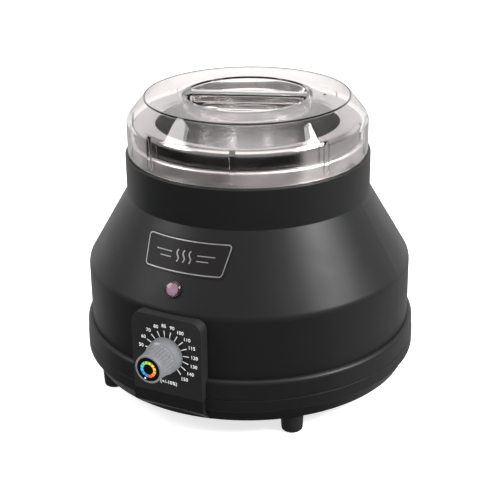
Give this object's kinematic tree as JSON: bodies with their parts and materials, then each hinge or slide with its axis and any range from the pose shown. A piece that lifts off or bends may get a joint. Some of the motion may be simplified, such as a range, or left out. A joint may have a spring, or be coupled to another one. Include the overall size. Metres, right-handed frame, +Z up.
{
  "type": "wax heater",
  "caption": "Round black countertop wax heater with a lift-out aluminium pot, a smoked clear lid with finger pockets and a thermostat knob on a flat front panel.",
  "frame": {"origin": "on the table, under the middle of the object's overall box (the front knob makes the body's round axis stand 13 mm behind it)", "axes": "+Z up along the body's round axis; -Y out of the front control panel; +X to the right as seen from the front"},
  "size_m": [0.2428, 0.2688, 0.2094],
  "materials": {
    "housing_black": "satin moulded, very fine texture",
    "pan_black": "satin moulded",
    "panel_black": "fine sandblasted texture",
    "foot_rubber": "matt rubber",
    "steel_zinc": "zinc plated",
    "scale_white": "printed ink",
    "plate_black": "gloss enamel",
    "plate_silver": "bright edge",
    "rating_silver": "satin foil, blank",
    "lamp_bezel_black": "gloss",
    "lamp_violet": "clear tinted lens",
    "lamp_white": "natural nylon",
    "well_aluminium": "spun",
    "pot_aluminium": "polished, spun",
    "gasket_grey": "silicone",
    "heater_mica": "mica in a steel jacket",
    "wool": "mineral fibre felt",
    "shield_aluminium": "mill finish",
    "ceramic_white": "glazed ceramic",
    "thermostat_steel": "plated steel case",
    "brass_tab": "plated brass",
    "copper_tube": "drawn copper",
    "knob_grey": "satin moulded",
    "cap_black": "gloss",
    "marks_colour": "printed, cool blue to hot red",
    "pointer_white": "printed",
    "inlet_black": "moulded",
    "lead_brown": "PVC insulation",
    "lead_blue": "PVC insulation",
    "lead_green": "PVC insulation",
    "lead_white": "PVC insulation",
    "lid_smoke": "clear smoked acrylic"
  },
  "bodies": {
    "root": {"upper_housing": "housing_black", "base_ring": "housing_black", "base_pan": "pan_black", "housing_screws": "steel_zinc", "foot_front_left": "foot_rubber", "foot_front_right": "foot_rubber", "foot_rear_left": "foot_rubber", "foot_rear_right": "foot_rubber", "foot_screws": "steel_zinc", "control_panel": "panel_black", "dial_scale": "scale_white", "nameplate": "plate_black", "nameplate_border": "plate_silver", "rating_plate": "rating_silver", "lamp_bezel": "lamp_bezel_black", "lamp_lens": "lamp_violet", "lamp_body": "lamp_white", "lamp_clip": "steel_zinc", "heating_well": "well_aluminium", "well_boss": "steel_zinc", "well_gasket": "gasket_grey", "heater_band": "heater_mica", "band_screw": "steel_zinc", "insulation_jacket": "wool", "heat_shield": "shield_aluminium", "shield_nut": "steel_zinc", "centre_bolt": "steel_zinc", "thermal_fuse": "ceramic_white", "fuse_strap": "steel_zinc", "thermostat_body": "thermostat_steel", "thermostat_terminals": "brass_tab", "thermostat_nut": "steel_zinc", "sensor_bulb": "copper_tube", "bulb_strap": "steel_zinc", "capillary_tube": "copper_tube", "mains_inlet": "inlet_black", "inlet_pins": "brass_tab", "inlet_screws": "steel_zinc", "terminal_block": "ceramic_white", "block_screws": "steel_zinc", "earth_screw": "brass_tab", "live_lead": "lead_brown", "neutral_lead": "lead_blue", "switched_lead": "lead_brown", "heater_lead": "lead_blue", "earth_lead": "lead_green", "lamp_leads": "lead_white"},
    "pot": {"wax_pot": "pot_aluminium"},
    "lid": {"lid_shell": "lid_smoke", "lid_pockets": "lid_smoke", "lid_wall_odd": "lid_smoke", "lid_wall_even": "lid_smoke"},
    "knob": {"thermostat_shaft": "steel_zinc", "knob_body": "knob_grey", "knob_insert": "brass_tab", "knob_cap": "cap_black", "heat_marks": "marks_colour", "knob_pointer": "pointer_white"}
  },
  "joints": [
    {"name": "pot_lift", "type": "slide", "parent": "root", "child": "pot", "axis": [0, 0, 1], "range_m": [0, 0.095]},
    {"name": "lid_lift", "type": "slide", "parent": "pot", "child": "lid", "axis": [0, 0, 1], "range_m": [0, 0.06]},
    {"name": "knob_turn", "type": "hinge", "parent": "root", "child": "knob", "pos_m": [0.0004, -0.1103, 0.06215], "axis": [0, 1, 0], "range_deg": [0, 302]}
  ]
}
